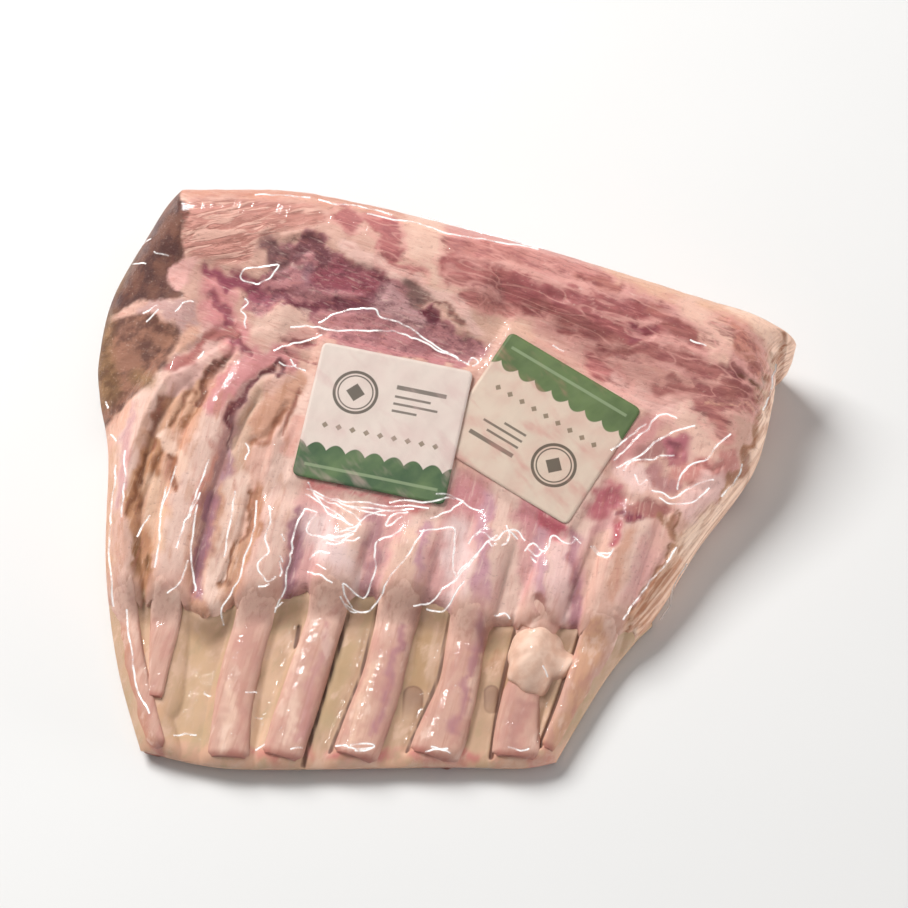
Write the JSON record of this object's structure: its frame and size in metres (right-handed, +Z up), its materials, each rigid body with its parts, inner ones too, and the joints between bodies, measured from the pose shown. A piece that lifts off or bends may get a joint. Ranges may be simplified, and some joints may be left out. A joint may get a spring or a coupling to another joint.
{
  "type": "vacuum-packed raw rack of lamb",
  "caption": "Raw rack of lamb with bared rib ends, sealed ribs up in a tight clear vacuum bag with square paper labels under the film.",
  "frame": {"origin": "centre of the part's bounding box, at its underside", "axes": "+X along the edge of the rib tips, +Y from the rib tips to the loin, +Z up, away from the surface it lies on"},
  "size_m": [0.2537, 0.219, 0.0555],
  "materials": {
    "sealed_bag": "clear glossy film drawn tight over pale fat, red muscle and bone",
    "label_paper": "off-white printed paper under glossy film"
  },
  "bodies": {
    "root": {"bag": "sealed_bag", "label_left": "label_paper", "label_right": "label_paper"}
  },
  "joints": []
}
